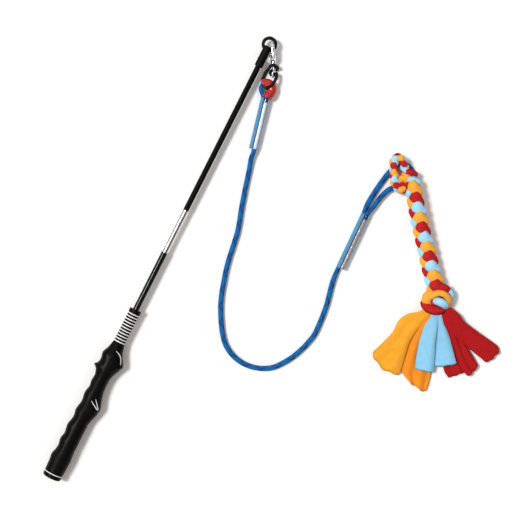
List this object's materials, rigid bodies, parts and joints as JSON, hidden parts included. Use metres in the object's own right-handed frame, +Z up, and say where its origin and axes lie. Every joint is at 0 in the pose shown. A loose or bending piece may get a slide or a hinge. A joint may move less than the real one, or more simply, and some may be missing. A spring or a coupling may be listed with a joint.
{
  "type": "dog flirt pole",
  "caption": "Telescopic dog flirt pole with a moulded grip, a ring and swivel snap at the tip, a rope and a braided fleece lure with loose tails.",
  "frame": {"origin": "centre of the butt end, at the mouth of the vent hole on the pole's axis", "axes": "+Y along the pole from butt to tip, +Z up off the surface that the part lies on, +X towards the rope and the lure"},
  "size_m": [0.5077, 0.7002, 0.0285],
  "materials": {
    "grip_rubber": "satin moulded rubber",
    "white_print": "white paint in grooves",
    "gloss_black_tube": "gloss black",
    "guide_plastic": "plain",
    "polished_tube": "polished steel",
    "matt_black_sleeve": "matt black",
    "tip_rubber": "satin rubber",
    "black_ring": "black plated",
    "snap_chrome": "plated die casting",
    "spring_steel": "drawn wire",
    "black_cord": "braided cord",
    "blue_rope": "braided rope with darker flecks",
    "red_tube": "glossy flexible tube",
    "clear_sleeve": "clear shrink tube",
    "orange_fleece": "brushed fleece",
    "red_fleece": "brushed fleece",
    "blue_fleece": "brushed fleece"
  },
  "bodies": {
    "handle": {"butt_cap": "grip_rubber", "butt_ring": "white_print", "grip": "grip_rubber", "grip_marks": "white_print", "ribbed_collar": "grip_rubber", "collar_bands": "white_print", "lower_shaft": "gloss_black_tube", "guide_bush": "guide_plastic"},
    "upper_pole": {"inner_tube": "polished_tube", "tube_stop": "guide_plastic", "upper_sleeve": "matt_black_sleeve", "tip_sleeve": "tip_rubber", "tip_cap": "tip_rubber"},
    "ring": {"split_ring": "black_ring"},
    "line": {"snap_body": "snap_chrome", "bolt_spring": "spring_steel", "cord_loop": "black_cord", "rope": "blue_rope", "rope_eye_tube": "red_tube", "tip_rope_sleeve": "clear_sleeve", "lure_rope_sleeve": "clear_sleeve"},
    "bolt": {"snap_bolt": "snap_chrome"},
    "swivel": {"swivel_eye": "snap_chrome"},
    "lure": {"lure_loop": "orange_fleece", "lure_loop_tie": "orange_fleece", "lure_braid": "red_fleece", "lure_knot": "orange_fleece", "tail_orange_outer": "orange_fleece", "tail_orange_inner": "orange_fleece", "tail_blue_left": "blue_fleece", "tail_blue_right": "blue_fleece", "tail_red_inner": "red_fleece", "tail_red_middle": "red_fleece", "tail_red_outer": "red_fleece"}
  },
  "joints": [
    {"name": "pole_slide", "type": "slide", "parent": "handle", "child": "upper_pole", "axis": [0, 1, 0], "range_m": [-0.065, 0.17]},
    {"name": "ring_turn", "type": "hinge", "parent": "upper_pole", "child": "ring", "pos_m": [0, 0.6887, 0], "axis": [0, 0, 1], "continuous": true},
    {"name": "line_swing", "type": "hinge", "parent": "upper_pole", "child": "line", "pos_m": [0, 0.6887, 0], "axis": [0, 0, 1], "range_deg": [-2, 120]},
    {"name": "bolt_slide", "type": "slide", "parent": "line", "child": "bolt", "axis": [0.5, -0.866, 0], "range_m": [0, 0.0045], "stiffness_N_per_m": 300, "springref_m": -0.004, "deforming": ["bolt_spring"]},
    {"name": "swivel_turn", "type": "hinge", "parent": "line", "child": "swivel", "pos_m": [0.02069, 0.66149, -0.006], "axis": [0.5, -0.866, 0], "continuous": true, "deforming": ["cord_loop"]},
    {"name": "lure_swing", "type": "hinge", "parent": "line", "child": "lure", "pos_m": [0.2511, 0.5902, 0], "axis": [0, 0, 1], "range_deg": [-15, 12]}
  ]
}
